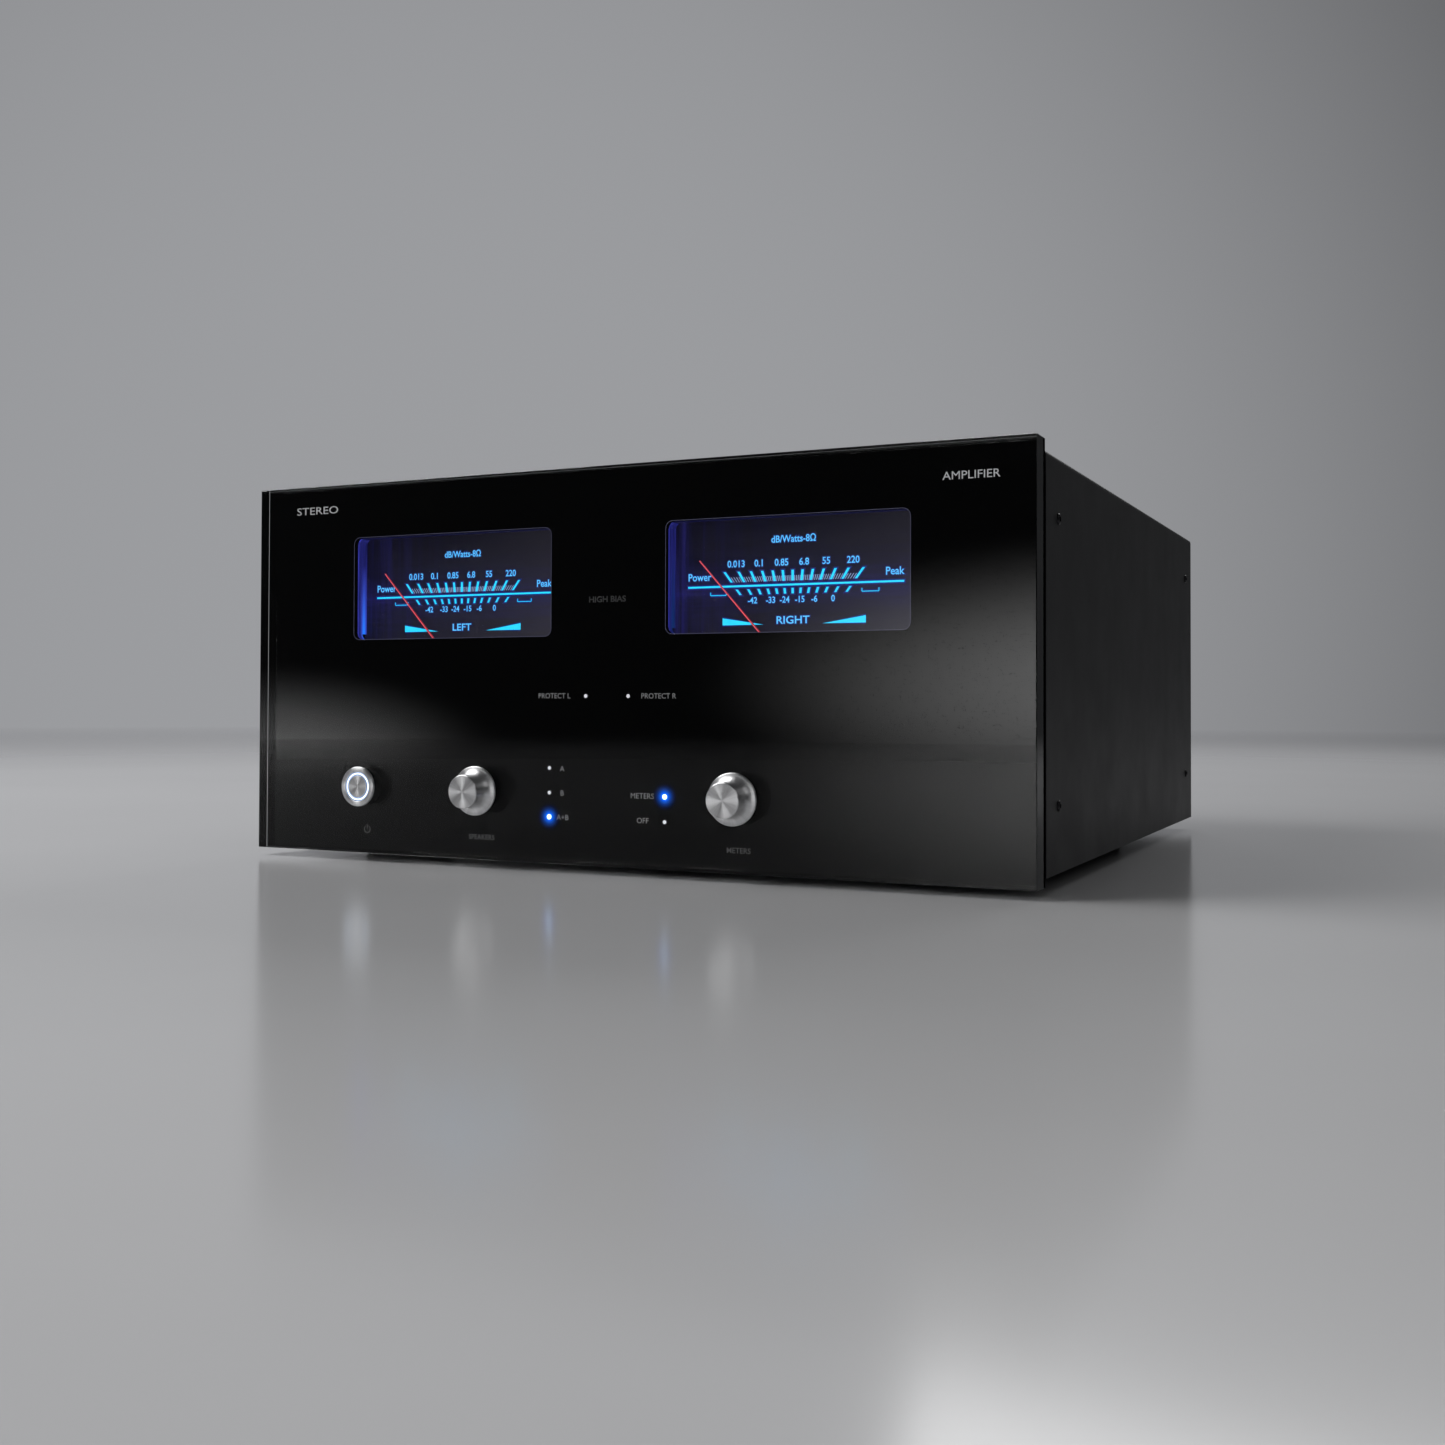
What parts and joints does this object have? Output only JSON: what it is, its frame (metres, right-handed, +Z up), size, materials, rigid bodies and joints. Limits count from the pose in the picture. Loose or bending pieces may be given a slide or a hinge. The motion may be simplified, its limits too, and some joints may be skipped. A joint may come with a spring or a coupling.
{
  "type": "stereo power amplifier",
  "caption": "Full-width stereo power amplifier: clear front plate over lit needle meters, push button, rotary selectors, black folded cover, rear sockets and terminals.",
  "frame": {"origin": "on the surface the feet stand on, under the middle of the whole object's box", "axes": "+X to the right seen from the front, +Y from the front to the back, +Z up"},
  "size_m": [0.43, 0.4766, 0.2],
  "materials": {
    "clear_plate": "polished clear plate",
    "black_backplate": "black print behind the clear plate",
    "black_sheet": "satin black powder coat",
    "black_cover": "satin black powder coat",
    "turned_aluminium": "turned, fine circular grain",
    "bare_aluminium": "extruded, plain",
    "bare_steel": "plated",
    "lit_ring": "translucent, lit white",
    "light_guide": "translucent",
    "black_plastic": "moulded",
    "rocker_plastic": "moulded, smooth",
    "socket_plate": "moulded",
    "terminal_block": "moulded",
    "terminal_red": "moulded, clear lacquer",
    "terminal_black": "moulded",
    "circuit_board": "green solder mask",
    "winding_tape": "wrapped polyester tape",
    "capacitor_sleeve": "shrunk sleeve",
    "dial_face": "printed, lit from the edge",
    "needle_red": "painted",
    "foot_rubber": "moulded"
  },
  "bodies": {
    "root": {"front_glass": "clear_plate", "front_backplate": "black_backplate", "inner_front_sheet": "black_sheet", "bottom_tray": "black_sheet", "top_cover": "black_cover", "rear_panel": "black_sheet", "power_button_bezel": "turned_aluminium", "power_light_ring": "lit_ring", "power_switch_body": "black_plastic", "speaker_switch_body": "black_plastic", "meter_switch_body": "black_plastic", "speaker_light_guide": "light_guide", "meter_light_guide": "light_guide", "protect_light_guide": "light_guide", "front_lights_board": "circuit_board", "toroidal_transformer": "winding_tape", "power_supply_board": "circuit_board", "input_board": "circuit_board", "mains_inlet": "black_plastic", "line_input_sockets": "socket_plate", "meter_housing_left": "black_plastic", "meter_dial_left": "dial_face", "meter_movement_left": "black_plastic", "speaker_block_left": "terminal_block", "balanced_input_left": "socket_plate", "heatsink_left": "bare_aluminium", "amplifier_board_left": "circuit_board", "foot_front_left": "foot_rubber", "foot_rear_left": "foot_rubber", "meter_housing_right": "black_plastic", "meter_dial_right": "dial_face", "meter_movement_right": "black_plastic", "speaker_block_right": "terminal_block", "balanced_input_right": "socket_plate", "heatsink_right": "bare_aluminium", "amplifier_board_right": "circuit_board", "foot_front_right": "foot_rubber", "foot_rear_right": "foot_rubber", "reservoir_capacitor_1": "capacitor_sleeve", "reservoir_capacitor_2": "capacitor_sleeve", "reservoir_capacitor_3": "capacitor_sleeve", "reservoir_capacitor_4": "capacitor_sleeve"},
    "power_button": {"power_button": "turned_aluminium"},
    "speaker_selector": {"speaker_knob": "turned_aluminium", "speaker_shaft": "bare_steel"},
    "meter_selector": {"meter_knob": "turned_aluminium", "meter_shaft": "bare_steel"},
    "needle_left": {"meter_needle_left": "needle_red"},
    "needle_right": {"meter_needle_right": "needle_red"},
    "mains_rocker": {"mains_rocker": "rocker_plastic"},
    "fuse_drawer": {"fuse_drawer": "black_plastic"},
    "bias_switch": {"bias_switch": "black_plastic"},
    "cap_left_a_plus": {"terminal_cap_left_a_plus": "terminal_red"},
    "cap_left_a_minus": {"terminal_cap_left_a_minus": "terminal_black"},
    "cap_left_b_plus": {"terminal_cap_left_b_plus": "terminal_red"},
    "cap_left_b_minus": {"terminal_cap_left_b_minus": "terminal_black"},
    "cap_right_a_plus": {"terminal_cap_right_a_plus": "terminal_red"},
    "cap_right_a_minus": {"terminal_cap_right_a_minus": "terminal_black"},
    "cap_right_b_plus": {"terminal_cap_right_b_plus": "terminal_red"},
    "cap_right_b_minus": {"terminal_cap_right_b_minus": "terminal_black"}
  },
  "joints": [
    {"name": "power_button_press", "type": "slide", "parent": "root", "child": "power_button", "axis": [0, 1, 0], "range_m": [0, 0.002], "stiffness_N_per_m": 600, "springref_m": -0.001},
    {"name": "speaker_selector_turn", "type": "hinge", "parent": "root", "child": "speaker_selector", "pos_m": [-0.0721, -0.23825, 0.0388], "axis": [0, 1, 0], "range_deg": [-60, 0]},
    {"name": "meter_selector_turn", "type": "hinge", "parent": "root", "child": "meter_selector", "pos_m": [0.0721, -0.23825, 0.0388], "axis": [0, 1, 0], "range_deg": [0, 30]},
    {"name": "needle_left_swing", "type": "hinge", "parent": "root", "child": "needle_left", "pos_m": [-0.0942, -0.206, 0.1], "axis": [0, 1, 0], "range_deg": [0, 84], "stiffness_Nm_per_rad": 0.0004, "springref_deg": -11.46},
    {"name": "needle_right_swing", "type": "hinge", "parent": "root", "child": "needle_right", "pos_m": [0.0942, -0.206, 0.1], "axis": [0, 1, 0], "range_deg": [0, 84], "stiffness_Nm_per_rad": 0.0004, "springref_deg": -11.46},
    {"name": "mains_rocker_tilt", "type": "hinge", "parent": "root", "child": "mains_rocker", "pos_m": [0, 0.20885, 0.0655], "axis": [1, 0, 0], "range_deg": [-22.5, 0]},
    {"name": "fuse_drawer_slide", "type": "slide", "parent": "root", "child": "fuse_drawer", "axis": [0, 1, 0], "range_m": [0, 0.016]},
    {"name": "bias_switch_slide", "type": "slide", "parent": "root", "child": "bias_switch", "axis": [1, 0, 0], "range_m": [0, 0.005]},
    {"name": "cap_left_a_plus_unscrew", "type": "slide", "parent": "root", "child": "cap_left_a_plus", "axis": [0, 1, 0], "range_m": [0, 0.006]},
    {"name": "cap_left_a_minus_unscrew", "type": "slide", "parent": "root", "child": "cap_left_a_minus", "axis": [0, 1, 0], "range_m": [0, 0.006]},
    {"name": "cap_left_b_plus_unscrew", "type": "slide", "parent": "root", "child": "cap_left_b_plus", "axis": [0, 1, 0], "range_m": [0, 0.006]},
    {"name": "cap_left_b_minus_unscrew", "type": "slide", "parent": "root", "child": "cap_left_b_minus", "axis": [0, 1, 0], "range_m": [0, 0.006]},
    {"name": "cap_right_a_plus_unscrew", "type": "slide", "parent": "root", "child": "cap_right_a_plus", "axis": [0, 1, 0], "range_m": [0, 0.006]},
    {"name": "cap_right_a_minus_unscrew", "type": "slide", "parent": "root", "child": "cap_right_a_minus", "axis": [0, 1, 0], "range_m": [0, 0.006]},
    {"name": "cap_right_b_plus_unscrew", "type": "slide", "parent": "root", "child": "cap_right_b_plus", "axis": [0, 1, 0], "range_m": [0, 0.006]},
    {"name": "cap_right_b_minus_unscrew", "type": "slide", "parent": "root", "child": "cap_right_b_minus", "axis": [0, 1, 0], "range_m": [0, 0.006]}
  ]
}
